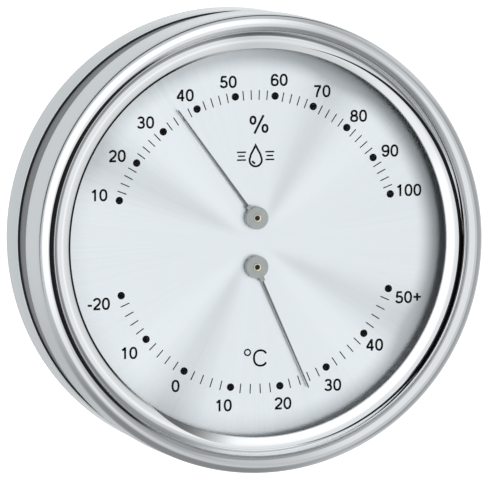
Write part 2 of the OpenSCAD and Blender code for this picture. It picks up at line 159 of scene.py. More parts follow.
class Sheet:
    """A node tree that nodes are added to by type, settings and inputs."""

    def __init__(self, tree):
        self.tree = tree
        tree.nodes.clear()

    def add(self, kind, settings=(), inputs=(), output=0):
        node = self.tree.nodes.new(kind)
        for key, value in dict(settings).items():
            setattr(node, key, value)
        pairs = inputs.items() if isinstance(inputs, dict) else enumerate(inputs)
        for key, value in pairs:
            self.feed(node.inputs[key], value)
        return Wire(self, node.outputs[output]) if node.outputs else None

    def feed(self, socket, value):
        if isinstance(value, Wire):
            self.tree.links.new(value.socket, socket)
        elif isinstance(value, (tuple, list)) and socket.type == "RGBA":
            socket.default_value = (*value[:3], 1.0)
        else:
            socket.default_value = value

    def mix(self, factor, first, second):
        return self.add(
            "ShaderNodeMix", {"data_type": "RGBA"}, {0: factor, 6: first, 7: second}, output=2)

    def axes(self, vector):
        node = self.tree.nodes.new("ShaderNodeSeparateXYZ")
        self.tree.links.new(vector.socket, node.inputs[0])
        return [Wire(self, socket) for socket in node.outputs]

    def place(self, scale=(1.0, 1.0, 1.0)):
        """Object coordinates, stretched by scale."""
        where = self.add("ShaderNodeTexCoord", output="Object")
        return self.add("ShaderNodeMapping", {}, {"Vector": where, "Scale": scale})

    def case_axes(self):
        """Distances right of the case axis, in front of the wall and up, and from the axis."""
        x, y, z = self.axes(self.place())
        reach = self.add("ShaderNodeVectorMath", {"operation": "LENGTH"},
                         [self.place((1, 0, 1))], output="Value")
        return x, y * -1.0, z, reach

    def noise(self, scale=(1.0, 1.0, 1.0), size=5.0, detail=3.0):
        return self.add("ShaderNodeTexNoise", {}, {
            "Vector": self.place(scale), "Scale": size, "Detail": detail})

    def bump(self, height, strength, distance):
        return self.add("ShaderNodeBump", {}, {
            "Height": height, "Strength": strength, "Distance": distance})


FINISHES = {}


def finish(name, paint):
    """The material of that name, painted once by paint(sheet), which returns a surface shader."""
    if name not in FINISHES:
        material = bpy.data.materials.new(name)
        material.use_nodes = True
        sheet = Sheet(material.node_tree)
        surface = paint(sheet)
        sheet.add("ShaderNodeOutputMaterial", {}, {"Surface": surface})
        FINISHES[name] = material
    return FINISHES[name]


def principled(sheet, **inputs):
    named = {key.replace("_", " ").title().replace("Ior", "IOR"): value
             for key, value in inputs.items()}
    return sheet.add("ShaderNodeBsdfPrincipled", {}, named)


def settings():
    return bpy.context.scene


# ---- finishes ----

# Near-black painted in as shade and dark reflections on the bezel and on the wall ring's gap face
PAINTED_SHADE_BLACK = (0.008, 0.008, 0.009)


def mm_ramp(wire, low, high, from_value=0.0, to_value=1.0):
    """A ramp of a distance between two sizes in mm."""
    return wire.ramp(low * MM, high * MM, from_value, to_value)


def bezel_shadows(toward, front, reach):
    """How much painted shade and painted dark reflection the bezel carries: 1 in its darkest
    stripes, 0 where it shines.
    """

    def stripe(middle, half):
        return mm_ramp((reach - middle).absolute() - half, -0.05, 0.05, 1.0, 0.0)

    # Painted dark reflection and shade in the crease, on the right side
    right = toward(3.07).math("MAXIMUM", 0.0)
    crease = stripe(toward(3.83) * 1.83 * MM + 43.89 * MM, right ** 1.2 * 0.56 * MM - 0.06 * MM)
    crease = crease * right.ramp(0.08, 0.30) * mm_ramp(front, 27.0, 27.2)
    crease = crease * mm_ramp(front, 28.6, 29.0, 1.0, 0.0)

    # Painted dark reflection band on the roll, on the left side
    left = toward(9.07).math("MAXIMUM", 0.0)
    band = stripe(left ** 1.5 * 0.60 * MM + 46.5 * MM, left ** 1.3 * 0.70 * MM - 0.08 * MM)
    band = band * mm_ramp(front, 28.8, 29.0) * left.ramp(0.35, 0.60)

    # Painted dark reflection line round the outer edge of the roll
    dark_line = mm_ramp((reach - 49.64 * MM).absolute(), 0.06, 0.13, 1.0, 0.0)
    dark_line = dark_line * toward(10.9).ramp(0.3, 0.75) * 0.9 * mm_ramp(front, 28.7, 29.0)

    # Painted shade line where the bezel's lip meets the window
    lip = mm_ramp(reach, 42.68, 42.82, 0.85, 0.0) + mm_ramp(reach, 42.7, 43.4, 0.2, 0.0)
    lip = lip * toward(9.4).ramp(0.20, 0.70)

    # Painted shade in the corner at seven o'clock
    corner = mm_ramp(toward(6.3) * 18.5 * MM + 25.8 * MM - reach, 0.0, 0.2)
    corner = corner * toward(7.15).ramp(0.88, 0.995) * 0.85

    dark = crease
    for shadow in (band, dark_line, lip, corner):
        dark = dark.math("MAXIMUM", shadow)
    return dark


def painted_reflection_greys(toward, reach):
    """How much painted reflection greys the shine on the roll and on the bead inside the crease."""
    roll = mm_ramp(reach, 46.0, 46.2)
    bead = 1 - roll
    grey = roll * toward(10.3).ramp(0.35, 0.80, 0.27, 0.0)
    grey = grey + roll * toward(6.6).ramp(0.70, 0.96) * mm_ramp(reach, 48.4, 47.8) * 0.22
    slopes = mm_ramp(reach, 44.1, 44.5) * 0.26 + mm_ramp(reach, 43.5, 44.0, 1.0, 0.0) * 0.1
    grey = grey + bead * toward(9.4).ramp(-0.1, 0.3) * slopes
    return grey + bead * toward(1.0).ramp(0.72, 0.86) * 0.16


def polished_chrome(sheet):
    house = settings().housing
    haze = sheet.noise(size=55.0, detail=4.0)
    wipe = sheet.noise((1.0, 8.0, 1.0), size=420.0, detail=2.0)
    smear = haze.ramp(0.45, 0.75)
    x, front, z, reach = sheet.case_axes()

    def toward(hour):
        """1 at this hour of a clock face, 0 a quarter turn from it."""
        angle = math.radians(hour * 30)
        return (x * math.sin(angle) + z * math.cos(angle)) / reach

    # Painted shade and painted dark reflections, set by clock angle and radius; where dark is 1 the
    # metal is painted black
    dark = bezel_shadows(toward, front, reach)
    side = mm_ramp(reach, 49.0, 49.6)
    polish = sheet.mix(smear * 0.25, tuple(house.chrome), (0.80, 0.81, 0.82))
    polish = sheet.mix(side * 0.6, polish, (0.84, 0.89, 0.905))
    # Painted reflection greys on the roll and the bead
    polish = sheet.mix(painted_reflection_greys(toward, reach), polish, (0.02, 0.025, 0.03))
    return principled(
        sheet, metallic=1 - dark, base_color=sheet.mix(dark, polish, PAINTED_SHADE_BLACK),
        roughness=smear * 0.03 + wipe * 0.02 + side * 0.2 + house.polish,
        specular_ior_level=0.1, normal=sheet.bump(haze, 0.02, 0.0001))


def satin_steel(sheet):
    """Steel that was brushed round its axis."""
    lines = sheet.noise((0.02, 1.0, 0.02), size=9000.0, detail=2.0)
    cloud = sheet.noise(size=60.0)
    satin = tuple(settings().housing.satin)
    return principled(
        sheet, metallic=1.0,
        base_color=sheet.mix(lines * 0.5 + cloud * 0.2, satin, (0.34, 0.35, 0.355)),
        roughness=lines * 0.15 + 0.36, normal=sheet.bump(lines, 0.12, 0.00005))


def wall_ring_metal(sheet):
    """Turned metal, with painted shadow: the face that looks into the shadow gap is painted black.
    """
    haze = sheet.noise(size=70.0, detail=4.0)
    lines = sheet.noise((0.02, 1.0, 0.02), size=6000.0, detail=2.0)
    _, front, _, reach = sheet.case_axes()
    # Painted shadow: black on the front face inside the gap
    black = mm_ramp(front, WALL_RING_FRONT - 0.16, WALL_RING_FRONT - 0.08)
    black = black * mm_ramp(reach, 49.18, 49.25, 1.0, 0.0)
    metal = sheet.mix(haze * 0.6 + lines * 0.4, (0.72, 0.765, 0.78), (0.82, 0.86, 0.87))
    return principled(
        sheet, metallic=1 - black, base_color=sheet.mix(black, metal, PAINTED_SHADE_BLACK),
        roughness=haze * 0.08 + lines * 0.06 + black * 0.35 + 0.14,
        normal=sheet.bump(lines, 0.04, 0.00005))


def sunburst_painted_sheen(sheet):
    """Silver that was brushed outwards from its middle; its soft sectors of sheen are painted into
    the colour, and painted shade darkens its rim, most towards the upper right.
    """
    x, _, z, reach = sheet.case_axes()
    angle = sheet.add("ShaderNodeMath", {"operation": "ARCTAN2"}, [z, x])
    direction = sheet.add("ShaderNodeVectorMath", {"operation": "NORMALIZE"},
                          [sheet.place((1, 0, 1))])
    hair = sheet.add("ShaderNodeTexNoise", {}, {
        "Vector": direction, "Scale": 70.0, "Detail": 6.0, "Roughness": 0.75})
    cloud = sheet.noise(size=30.0)
    # Painted sheen: narrow darker sectors and softer bright lobes by angle round the dial
    dips = (angle * 4.0 - 2.72).sine().math("MAXIMUM", 0.0) ** 5.0
    gleams = (angle * 4.0 - 1.5).sine().math("MAXIMUM", 0.0) ** 3.0
    dips = dips * (mm_ramp(reach, 30.0, 41.0) * 0.7 + 1.0)
    upper_right = (x * 0.9 + z * 0.45) / reach.math("MAXIMUM", 1.0 * MM)
    sheen_shade_and_grain = mm_ramp(reach, 1.0, 12.0) * (dips * 0.38 - gleams * 0.10)
    # Painted shade on the rim, strongest towards the upper right
    sheen_shade_and_grain = sheen_shade_and_grain + mm_ramp(reach, 36.5, 43.0) * upper_right.ramp(-0.9, 0.3, 0.25, 1.35)
    sheen_shade_and_grain = sheen_shade_and_grain + (hair - 0.5) * 0.5 + (cloud - 0.5) * 0.12 + 0.12
    silver = sheet.mix(sheen_shade_and_grain, tuple(settings().dial.silver), (0.56, 0.575, 0.60))
    # Painted shadow of the bezel on the dial's upper right rim
    shade = upper_right.ramp(0.15, 1.0) * mm_ramp(reach, 35.5, 42.5) ** 1.6 * 0.75
    return principled(
        sheet, metallic=1.0, base_color=sheet.mix(shade, silver, (0.10, 0.11, 0.12)),
        roughness=hair * 0.10 + 0.26, normal=sheet.bump(hair, 0.05, 0.0001))


def printed_ink(sheet):
    grain = sheet.noise(size=3000.0, detail=2.0)
    return principled(
        sheet, base_color=sheet.mix(grain, tuple(settings().dial.ink), (0.007, 0.007, 0.008)),
        roughness=grain * 0.15 + 0.5, specular_ior_level=0.03,
        normal=sheet.bump(grain, 0.05, 0.00002))


def window_glass(sheet):
    """Thin clear glass: what is behind it, with a faint reflection on top."""
    dust = sheet.noise(size=40.0, detail=2.0)
    clear = sheet.add("ShaderNodeBsdfTransparent", {}, {"Color": (0.985, 0.992, 0.99)})
    shine = sheet.add("ShaderNodeBsdfGlossy", {}, {
        "Color": (1.0, 1.0, 1.0), "Roughness": dust * 0.03})
    facing = sheet.add("ShaderNodeLayerWeight", {}, {"Blend": 0.5}, output="Facing")
    coated = facing ** 3.0 * 0.7 + 0.002
    return sheet.add("ShaderNodeMixShader", {}, [coated, clear, shine])


def black_rubber(sheet):
    grain = sheet.noise(size=900.0)
    return principled(
        sheet, base_color=sheet.mix(grain, (0.010, 0.010, 0.010), (0.035, 0.035, 0.036)),
        roughness=grain * 0.2 + 0.6, normal=sheet.bump(grain, 0.2, 0.0001))


def spacer_grey(sheet):
    lines = sheet.noise((0.05, 1.0, 0.05), size=2500.0)
    return principled(
        sheet, metallic=0.6,
        base_color=sheet.mix(lines, (0.07, 0.074, 0.078), (0.12, 0.125, 0.13)),
        roughness=lines * 0.1 + 0.35, normal=sheet.bump(lines, 0.05, 0.00005))


def turned_metal(sheet, dark, light, rough, metallic=1.0, size=900.0):
    lines = sheet.noise((1.0, 4.0, 1.0), size=size)
    cloud = sheet.noise(size=90.0)
    return principled(
        sheet, metallic=metallic, base_color=sheet.mix(lines * 0.6 + cloud * 0.4, dark, light),
        roughness=lines * 0.14 + rough, normal=sheet.bump(lines, 0.06, 0.00005))


def movement_brass(sheet):
    return turned_metal(sheet, (0.50, 0.35, 0.13), (0.68, 0.50, 0.22), 0.28)


def bush_brass(sheet):
    return turned_metal(sheet, (0.80, 0.70, 0.52), (0.95, 0.90, 0.78), 0.20)


def screw_steel(sheet):
    return turned_metal(sheet, (0.42, 0.42, 0.43), (0.62, 0.62, 0.63), 0.24)


def cover_steel(sheet):
    return turned_metal(sheet, (0.17, 0.175, 0.18), (0.27, 0.275, 0.28), 0.42, size=300.0)


def mesh_steel(sheet):
    return turned_metal(sheet, (0.28, 0.285, 0.29), (0.45, 0.455, 0.46), 0.34)


def hand_steel(sheet):
    return turned_metal(sheet, (0.11, 0.115, 0.12), (0.17, 0.175, 0.18), 0.36, metallic=0.5)


def hub_grey(sheet):
    return turned_metal(sheet, (0.32, 0.335, 0.33), (0.45, 0.465, 0.46), 0.42, metallic=0.4)


def arbor_steel(sheet):
    return turned_metal(sheet, (0.02, 0.018, 0.015), (0.06, 0.05, 0.035), 0.35)


def humidity_strip(sheet):
    return turned_metal(sheet, (0.42, 0.31, 0.18), (0.60, 0.46, 0.29), 0.5, metallic=0.1)


def bimetal_strip(sheet):
    return turned_metal(sheet, (0.36, 0.24, 0.12), (0.52, 0.37, 0.20), 0.3)


SLOT_FINISHES = {
    "polished_chrome": polished_chrome, "satin_steel": satin_steel, "wall_metal": wall_ring_metal,
    "dial_silver": sunburst_painted_sheen, "window_glass": window_glass, "black_rubber": black_rubber,
    "spacer_grey": spacer_grey, "movement_brass": movement_brass, "bush_brass": bush_brass,
    "screw_steel": screw_steel, "cover_steel": cover_steel, "mesh_steel": mesh_steel,
    "hand_steel": hand_steel, "hub_grey": hub_grey, "arbor_steel": arbor_steel,
    "humidity_strip": humidity_strip, "bimetal_strip": bimetal_strip,
}


# ---- mesh helpers ----

def place_piece(name, body, slot, mesh, replaced=(), paint=None):
    """Adds a finished mesh to the scene as a piece of that body."""
    piece = bpy.data.objects.new(name, mesh)
    bpy.context.scene.collection.objects.link(piece)
    paint = paint or SLOT_FINISHES[slot]
    mesh.materials.clear()
    mesh.materials.append(finish(paint.__name__, paint))
    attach(piece, body)
    if replaced:
        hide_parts(*replaced)
    return piece


def to_mesh(name, shape, sharp=math.radians(40)):
    """Turns a bmesh into a smooth-shaded mesh with its sharp edges kept."""
    bmesh.ops.remove_doubles(shape, verts=shape.verts, dist=1e-7)
    bmesh.ops.recalc_face_normals(shape, faces=shape.faces)
    mesh = bpy.data.meshes.new(name)
    shape.to_mesh(mesh)
    shape.free()
    mesh.shade_smooth()
    mesh.set_sharp_from_angle(angle=sharp)
    return mesh


def polar(radius, angle):
    return radius * math.cos(angle), radius * math.sin(angle)


def arc(centre, radius, start, end, steps):
    """Points on an arc, with angles in degrees from the outward direction towards the front."""
    points = []
    for i in range(steps + 1):
        out, forward = polar(radius, math.radians(start + (end - start) * i / steps))
        points.append((centre[0] + out, centre[1] + forward))
    return points


def rounded(outline, radius, steps=5):
    """A closed outline with each corner replaced by a small arc."""
    result = []
    count = len(outline)
    for i, corner in enumerate(outline):
        here = Vector(corner)
        before = Vector(outline[i - 1]) - here
        after = Vector(outline[(i + 1) % count]) - here
        reach = min(radius, before.length * 0.4, after.length * 0.4)
        start = here + before.normalized() * reach
        end = here + after.normalized() * reach
        for k in range(steps + 1):
            t = k / steps
            result.append(tuple(start * (1 - t) ** 2 + here * 2 * t * (1 - t) + end * t ** 2))
    return result


def turned(outline, centre=(0.0, 0.0), segments=None, closed=True):
    """A bmesh turned about the case axis from (radius, distance from the wall) points in mm."""
    segments = segments or settings().housing.segments
    shape = bmesh.new()
    points = [shape.verts.new((r * MM, -z * MM, 0.0)) for r, z in outline]
    pairs = list(zip(points, points[1:]))
    if closed:
        pairs.append((points[-1], points[0]))
    edges = [shape.edges.new(pair) for pair in pairs]
    bmesh.ops.spin(
        shape, geom=points + edges, cent=(0, 0, 0), axis=(0, 1, 0), dvec=(0, 0, 0),
        angle=2 * math.pi, steps=segments, use_merge=True, use_normal_flip=False,
        use_duplicate=False)
    bmesh.ops.translate(shape, verts=shape.verts, vec=(centre[0] * MM, 0, centre[1] * MM))
    return shape


def join(shape, other):
    """Adds the faces of one bmesh to another, and frees it."""
    mesh = bpy.data.meshes.new("joined")
    other.to_mesh(mesh)
    other.free()
    shape.from_mesh(mesh)
    bpy.data.meshes.remove(mesh)


def carve(piece, tool, operation="DIFFERENCE"):
    """Cuts a tool's shape out of a piece, or unites the two."""
    cutter = bpy.data.objects.new("cutter", to_mesh("cutter", tool))
    bpy.context.scene.collection.objects.link(cutter)
    cut = piece.modifiers.new("carve", "BOOLEAN")
    cut.operation = operation
    cut.solver = "EXACT"
    cut.object = cutter
    carved = bpy.data.meshes.new_from_object(
        piece.evaluated_get(bpy.context.evaluated_depsgraph_get()))
    if not carved.polygons:
        raise RuntimeError("carving " + piece.name + " left nothing")
    piece.modifiers.clear()
    piece.data = carved
    bpy.data.objects.remove(cutter)
    carved.shade_smooth()
    carved.set_sharp_from_angle(angle=math.radians(35))


def around(angle):
    """A turn about the case axis, anticlockwise from three o'clock, in degrees."""
    return Matrix.Rotation(math.radians(-angle), 4, "Y")


def rod(radius, low, high, placing):
    """A rod along the case axis between two distances from the wall, then moved by placing."""
    shape = turned([(0, low), (radius, low), (radius, high), (0, high)], segments=32, closed=False)
    bmesh.ops.transform(shape, matrix=placing, verts=shape.verts)
    return shape


def block(low, high, placing):
    """A block between two corners (out from the axis, along the wall, from the wall) in mm."""
    shape = bmesh.new()
    middle = [(a + b) / 2 * MM for a, b in zip(low, high)]
    size = [(b - a) * MM for a, b in zip(low, high)]
    bmesh.ops.create_cube(
        shape, size=1.0,
        matrix=placing @ Matrix.Translation((middle[0], -middle[2], middle[1]))
        @ Matrix.Diagonal((size[0], size[2], size[1], 1.0)))
    return shape


def sector(outline, start, sweep):
    """A closed part of a ring, turned through sweep degrees from start."""
    shape = bmesh.new()
    corners = [shape.verts.new((r * MM, -z * MM, 0.0)) for r, z in outline]
    face = shape.faces.new(corners)
    bmesh.ops.spin(
        shape, geom=[face, *face.verts, *face.edges], cent=(0, 0, 0), axis=(0, 1, 0),
        dvec=(0, 0, 0), angle=-math.radians(sweep), steps=12, use_merge=False,
        use_normal_flip=False, use_duplicate=False)
    bmesh.ops.transform(shape, matrix=around(start), verts=shape.verts)
    return shape


# ---- housing ----

PIN_ANGLES = (90, 210, 330)     # where the bayonet pins are, in degrees from three o'clock
PIN_Z = 5.1
PIN_HOLE_R = 1.03
UNLOCK_TURN = 20                # degrees from the locked place to the slots' entries
SEAT_R = 47.25                  # where the bezel sits on the drum
SCREW_CIRCLE = 35.0             # radius of the circle through the wall screws
COVER_SCREW_CIRCLE = 39.0
PLATE_T = 2.2                   # thickness of the wall ring's plate
CREST_R = 44.2                  # where the bead inside the bezel's crease stands highest
CREST_Z = 28.35
BEAD_OUT_R = 2.4
BEAD_IN_R = 8.0


def bezel_outline():
    house = settings().housing
    roll = house.roll_radius / MM
    sight = house.sight_radius / MM
    pocket, pocket_z, register = 45.05, 26.3, 47.3
    crease = BEZEL_R - 2 * roll
    crease_angle = math.degrees(math.acos((crease - CREST_R) / BEAD_OUT_R))
    lip = 0.25
    lip_angle = 90 + math.degrees(math.asin((CREST_R - sight - lip) / BEAD_IN_R))
    edge = 0.35
    outline = [(register, BEZEL_REAR), (BEZEL_R - edge, BEZEL_REAR)]
    outline += arc((BEZEL_R - edge, BEZEL_REAR + edge), edge, -90, 0, 6)
    outline += arc((BEZEL_R - roll, FRONT - roll), roll, 0, 180, 56)
    outline += arc((CREST_R, CREST_Z - BEAD_OUT_R), BEAD_OUT_R, crease_angle, 90, 20)
    outline += arc((CREST_R, CREST_Z - BEAD_IN_R), BEAD_IN_R, 90, lip_angle, 14)[1:]
    lip_z = outline[-1][1]
    outline += arc((sight + lip, lip_z - lip), lip, lip_angle, 180, 10)[1:]
    outline += [(sight, GLASS_FRONT), (pocket, GLASS_FRONT), (pocket, pocket_z),
                (register, pocket_z)]
    return outline


class INSTRUMENT_OT_bezel(bpy.types.Operator):
    """Turn the polished bezel with its roll, crease and inner bead"""
    bl_idname = "instrument.bezel"
    bl_label = "Bezel"

    def execute(self, context):
        mesh = to_mesh("bezel", turned(bezel_outline()), sharp=math.radians(35))
        place_piece("bezel", "case", "polished_chrome", mesh, ["bezel_ring"])
        return {"FINISHED"}


class INSTRUMENT_OT_drum(bpy.types.Operator):
    """Turn the satin case drum"""
    bl_idname = "instrument.drum"
    bl_label = "Case drum"

    def execute(self, context):
        shoulder = WALL_RING_FRONT + 0.6
        dial_rear = -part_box("dial_plate")[1].y / MM
        sleeve, bore, ledge, cover_seat = 46.82, 44.2, 43.0, 4.8
        outline = [
            (bore, DRUM_REAR), (sleeve, DRUM_REAR), (sleeve, shoulder),
            (DRUM_R - 0.2, shoulder), (DRUM_R, shoulder + 0.2), (DRUM_R, BEZEL_REAR),
            (SEAT_R, BEZEL_REAR), (SEAT_R, 21.0), (SEAT_R - 1, 21.0), (SEAT_R - 1, 22.6),
            (SEAT_R, 22.6), (SEAT_R, 26.0), (45.0, 26.0), (45.0, dial_rear),
            (ledge, dial_rear), (ledge, dial_rear - 2), (bore, dial_rear - 3.2),
            (bore, cover_seat + 2), (41.0, cover_seat + 2), (41.0, cover_seat),
            (bore, cover_seat)]
        mesh = to_mesh("drum", turned(rounded(outline, 0.15, 3)))
        drum = place_piece("drum", "case", "satin_steel", mesh, ["case_drum"])
        bosses, webs, holes = bmesh.new(), bmesh.new(), bmesh.new()
        for angle in (45, 135, 225, 315):
            place = around(angle) @ Matrix.Translation((COVER_SCREW_CIRCLE * MM, 0, 0))
            join(bosses, rod(2.8, 4.9, 10.9, place))
            join(webs, block((COVER_SCREW_CIRCLE + 0.2, -2.7, 4.95), (bore + 0.4, 2.7, 10.8),
                             around(angle)))
            join(holes, rod(0.8, 4.0, 9.3, place))
        for angle in PIN_ANGLES:
            out = around(angle) @ Matrix.Translation((0, -PIN_Z * MM, 0))
            join(holes, rod(PIN_HOLE_R, 42.0, 48.0, out @ Matrix.Rotation(math.pi / 2, 4, "Z")))
        carve(drum, webs, "UNION")
        carve(drum, bosses, "UNION")
        carve(drum, holes)
        return {"FINISHED"}


class INSTRUMENT_OT_wall_plate(bpy.types.Operator):
    """Turn the wall ring and drill its countersunk holes"""
    bl_idname = "instrument.wall_plate"
    bl_label = "Wall ring"

    def execute(self, context):
        edge = 0.15
        outline = [(0, 0), (WALL_RING_R - edge, 0)]
        outline += arc((WALL_RING_R - edge, edge), edge, -90, 0, 6)
        outline += arc((WALL_RING_R - edge, WALL_RING_FRONT - edge), edge, 0, 90, 6)
        outline += [(46.9, WALL_RING_FRONT), (46.9, PLATE_T), (46.2, PLATE_T), (46.2, 1.4),
                    (44.6, 1.4), (44.6, PLATE_T), (0, PLATE_T)]
        mesh = to_mesh("wall_plate", turned(outline, closed=False))
        plate = place_piece("wall_plate", "wall_mount", "wall_metal", mesh, ["wall_ring"])
        drills, slots, entries = bmesh.new(), bmesh.new(), bmesh.new()
        hole = [(0, -0.5), (2.2, -0.5), (2.2, 0.6), (4.0, PLATE_T), (4.4, PLATE_T + 0.4),
                (0, PLATE_T + 0.4)]
        for angle in (30, 150, 270):
            centre = polar(SCREW_CIRCLE, math.radians(angle))
            join(drills, turned(hole, centre, segments=48, closed=False))
        groove = [(45.9, PIN_Z - 1.1), (48.35, PIN_Z - 1.1), (48.35, PIN_Z + 1.1),
                  (45.9, PIN_Z + 1.1)]
        margin = 1.8            # degrees that a slot reaches past the pin's centre at each end
        for angle in PIN_ANGLES:
            join(slots, sector(groove, angle - margin, UNLOCK_TURN + 2 * margin))
            join(entries, block((45.9, -1.2, PIN_Z), (48.5, 1.2, 9.6),
                                around(angle + UNLOCK_TURN)))
        carve(plate, drills)
        carve(plate, slots)
        carve(plate, entries)
        return {"FINISHED"}


class INSTRUMENT_OT_window(bpy.types.Operator):
    """Turn the window glass with its ground edge"""
    bl_idname = "instrument.window"
    bl_label = "Window glass"

    def execute(self, context):
        edge, radius = 0.15, 44.9
        outline = [(0, GLASS_REAR), (radius - edge, GLASS_REAR), (radius, GLASS_REAR + edge),
                   (radius, GLASS_FRONT - edge), (radius - edge, GLASS_FRONT), (0, GLASS_FRONT)]
        mesh = to_mesh("window", turned(outline, segments=192, closed=False))
        place_piece("window", "case", "window_glass", mesh, ["glass"])
        return {"FINISHED"}


class INSTRUMENT_OT_spacer(bpy.types.Operator):
    """Turn the ring that keeps the glass off the dial"""
    bl_idname = "instrument.spacer"
    bl_label = "Spacer ring"

    def execute(self, context):
        top = GLASS_REAR - 0.3
        outline = rounded([(42.7, DIAL), (DIAL_R, DIAL), (DIAL_R, top), (42.7, top)], 0.12, 3)
        place_piece("spacer", "case", "spacer_grey", to_mesh("spacer", turned(outline)),
                    ["spacer_ring"])
        return {"FINISHED"}


# ---- the dial's print ----

INK_T = 0.02            # thickness of the printed ink, in mm


def print_piece(name, shape):
    mesh = to_mesh(name, shape)
    return place_piece(name, "case", "hand_steel", mesh, paint=printed_ink)


def on_dial(x, y):
    """A point of the dial's face, in metres, from millimetres across and up."""
    return Vector((x * MM, -DIAL * MM, y * MM))


def disc(shape, x, y, radius, segments=40):
    placing = Matrix.Translation(on_dial(x, y) - Vector((0, INK_T * MM / 2, 0)))
    placing = placing @ Matrix.Rotation(math.pi / 2, 4, "X")
    bmesh.ops.create_cone(
        shape, cap_ends=True, cap_tris=False, segments=segments, radius1=radius * MM,
        radius2=radius * MM, depth=INK_T * MM, matrix=placing)


def bar(shape, x, y, length, width, angle):
    """A printed bar centred on x, y, whose length lies along angle."""
    placing = Matrix.Translation(on_dial(x, y) - Vector((0, INK_T * MM / 2, 0)))
    placing = placing @ Matrix.Rotation(-angle, 4, "Y")
    placing = placing @ Matrix.Diagonal((length * MM, INK_T * MM, width * MM, 1.0))
    bmesh.ops.create_cube(shape, size=1.0, matrix=placing)


def scale_marks(shape, first, last, numbered, between):
    """Dots at the numbered marks and short bars between them, from first to last in radians."""
    circle = settings().dial.dot_circle / MM
    steps = (numbered - 1) * between
    for i in range(steps + 1):
        angle = first + (last - first) * i / steps
        x, y = polar(circle, angle)
        if i % between == 0:
            disc(shape, x, y, settings().dial.dot_radius / MM)
        else:
            bar(shape, x, y, 2.1, 0.23, angle)


def bow(x, y, across, up, start, end, steps=28, square=2.3):
    """Points along a bow from start to end in degrees, a little squarer than an ellipse."""
    points = []
    for i in range(steps + 1):
        angle = math.radians(start + (end - start) * i / steps)
        c, s = math.cos(angle), math.sin(angle)
        points.append((x + across * math.copysign(abs(c) ** (2 / square), c),
                       y + up * math.copysign(abs(s) ** (2 / square), s)))
    return points


# The middle line of each pen stroke, for characters of height 1
PEN = 0.178
SIX = [bow(0.39, 0.3125, 0.262, 0.25, 0, 360), bow(0.40, 0.5, 0.272, 0.4375, 188, 32)]
CHARACTERS = {
    "0": [bow(0.39, 0.5, 0.265, 0.4375, 0, 360)],
    "1": [[(0.45, 0), (0.45, 1)], [(0.44, 0.93), (0.34, 0.82), (0.19, 0.745)]],
    "2": [bow(0.39, 0.69, 0.262, 0.2475, 170, -22, square=2.1)
          + [(0.56, 0.48), (0.44, 0.36), (0.28, 0.23), (0.17, 0.11)],
          [(0.08, 0.0625), (0.68, 0.0625)]],
    "3": [bow(0.37, 0.73, 0.225, 0.2075, 165, -85), bow(0.37, 0.285, 0.265, 0.2225, 92, -165),
          [(0.28, 0.522), (0.39, 0.522)]],
    "4": [[(0.52, 0), (0.52, 1)], [(0.05, 0.285), (0.70, 0.285)],
          [(0.085, 0.31), (0.50, 0.94)]],
    "5": [[(0.21, 0.9375), (0.63, 0.9375)], [(0.235, 0.97), (0.175, 0.47)],
          bow(0.38, 0.32, 0.27, 0.2575, 142, -165)],
    "6": SIX,
    "7": [[(0.09, 0.9375), (0.69, 0.9375)],
          [(0.65, 0.91), (0.52, 0.72), (0.40, 0.45), (0.335, 0.2), (0.315, 0)]],
    "8": [bow(0.39, 0.735, 0.218, 0.2025, 0, 360), bow(0.39, 0.2875, 0.267, 0.225, 0, 360)],
    "9": [[(0.78 - x, 1 - y) for x, y in stroke] for stroke in SIX],
    "-": [[(0.06, 0.37), (0.42, 0.37)]],
    "+": [[(0.08, 0.5), (0.74, 0.5)], [(0.41, 0.17), (0.41, 0.83)]],
    "%": [bow(0.235, 0.745, 0.145, 0.2, 0, 360), bow(0.955, 0.255, 0.145, 0.2, 0, 360),
          [(0.32, -0.03), (0.87, 1.03)]],
    "C": [bow(0.46, 0.5, 0.39, 0.445, 32, 328)],
    "o": [bow(0.4, 0.5, 0.4, 0.4, 0, 360, square=2.0)],
    "drop": [[(0.0, 1.0), (-0.10, 0.80), (-0.235, 0.56)]
             + bow(0.0, 0.3, 0.30, 0.30, 150, 390, square=2.0)
             + [(0.235, 0.56), (0.10, 0.80), (0.0, 1.0)],
             bow(0.0, 0.31, 0.165, 0.165, 195, 262, 8, square=2.0)],
}
NARROW = {"-": 0.47}


def strokes(lines, width):
    """A mesh of flat pen strokes of that width, from lists of points in mm on the dial."""
    pen = bmesh.new()
    for line in lines:
        points = [pen.verts.new(on_dial(x, y)) for x, y in line]
        for pair in zip(points, points[1:]):
            pen.edges.new(pair)
    bmesh.ops.remove_doubles(pen, verts=pen.verts, dist=2e-7)
    raised = bmesh.ops.extrude_edge_only(pen, edges=pen.edges[:])["geom"]
    bmesh.ops.translate(pen, verts=[v for v in raised if isinstance(v, bmesh.types.BMVert)],
                        vec=(0, -INK_T * MM, 0))
    mesh = bpy.data.meshes.new("strokes")
    pen.to_mesh(mesh)
    pen.free()
    ribbon = bpy.data.objects.new("strokes", mesh)
    bpy.context.scene.collection.objects.link(ribbon)
    body = ribbon.modifiers.new("width", "SOLIDIFY")
    body.thickness = width * MM
    body.offset = 0.0
    body.use_even_offset = True
    solid = bpy.data.meshes.new_from_object(
        ribbon.evaluated_get(bpy.context.evaluated_depsgraph_get()))
    bpy.data.objects.remove(ribbon)
    return solid


